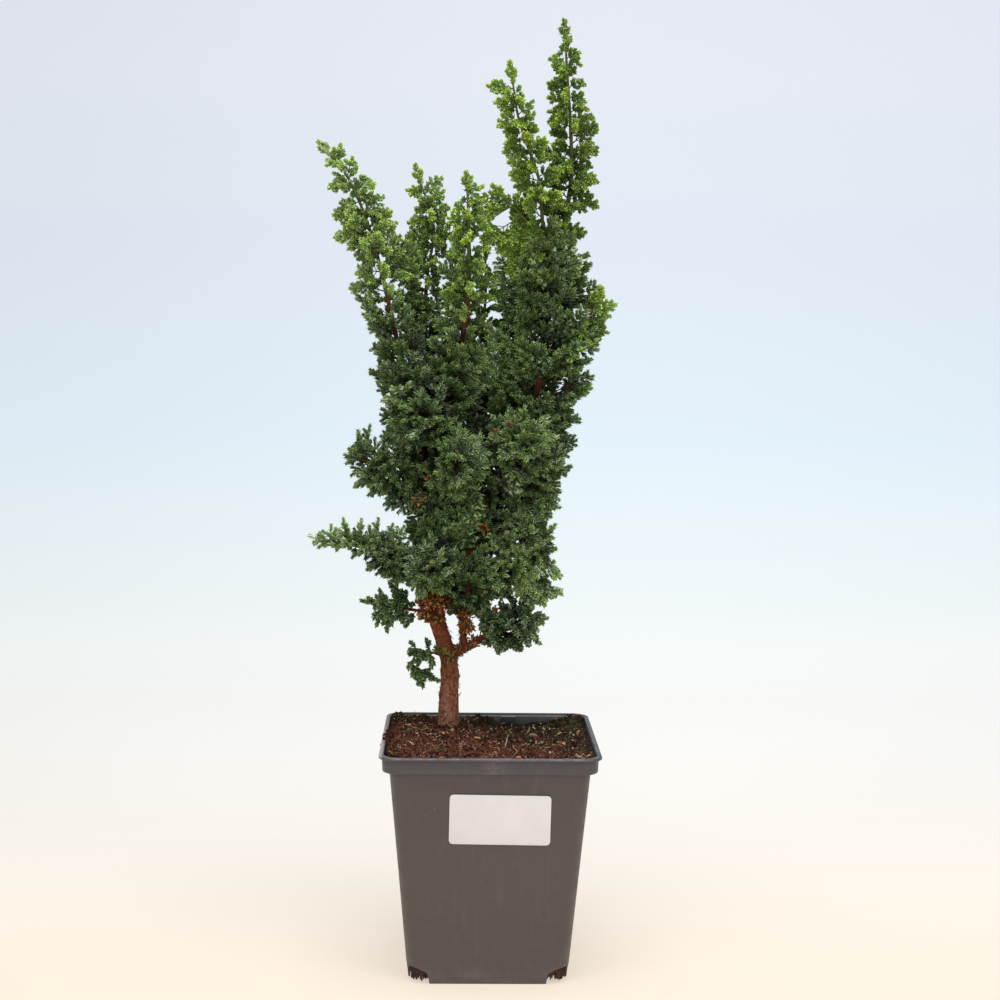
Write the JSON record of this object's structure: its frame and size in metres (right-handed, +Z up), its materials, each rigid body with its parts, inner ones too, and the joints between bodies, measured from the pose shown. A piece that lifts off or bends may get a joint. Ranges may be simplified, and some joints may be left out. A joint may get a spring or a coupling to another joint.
{
  "type": "hinoki cypress bonsai in a nursery pot",
  "caption": "Young hinoki cypress bonsai with upright spires and layered pads of foliage, rooted in a square tapered nursery pot with a blank label.",
  "frame": {"origin": "on the ground under the middle of the whole plant's bounding box", "axes": "+Z up along the trunk, -Y towards the front with the label, +X to the right seen from the front"},
  "size_m": [0.148, 0.11, 0.4793],
  "materials": {
    "pot_plastic": "dull moulded polypropylene, faintly scratched and dusty",
    "label_card": "smooth white sticker, blank",
    "peat": "damp fibrous peat",
    "bark": "flaking red-brown bark",
    "leaf": "waxy dark green awl leaves",
    "leaf_young": "waxy yellow-green young leaves",
    "dead_leaf": "dry orange-brown leaves",
    "straw": "dry pale stem",
    "moss": "low green moss"
  },
  "bodies": {
    "root": {"pot": "pot_plastic", "label": "label_card", "soil": "peat", "trunk_and_limbs": "bark", "bark_chip": "bark", "fallen_leaf_middle": "dead_leaf", "fallen_spray_back": "dead_leaf", "fallen_spray_right": "dead_leaf", "straw_stem": "straw", "moss_front": "moss", "moss_left": "moss", "moss_right": "moss", "body_back": "leaf", "body_centre_lower": "leaf", "body_centre_upper": "leaf", "body_left": "leaf", "body_left_centre": "leaf", "body_right_lower": "leaf", "body_right_upper": "leaf", "body_second": "leaf", "pad_back_left": "leaf", "pad_back_low": "leaf", "pad_back_mid": "leaf", "pad_back_right": "leaf", "pad_front_left": "leaf", "pad_front_left_low": "leaf", "pad_front_low": "leaf", "pad_front_mid": "leaf", "pad_front_right": "leaf", "pad_left_low": "leaf", "pad_left_small": "leaf", "pad_left_upper": "leaf", "pad_right_high": "leaf", "pad_right_low": "leaf", "pad_right_low_mid": "leaf", "pad_right_mid": "leaf", "pad_right_under": "leaf", "spray_bottom": "leaf", "spire_back": "leaf_young", "spire_centre": "leaf_young", "spire_left": "leaf_young", "spire_left_centre": "leaf_young", "spire_right_side": "leaf_young", "spire_second": "leaf_young", "spire_small": "leaf_young", "spire_tall": "leaf_young"}
  },
  "joints": []
}
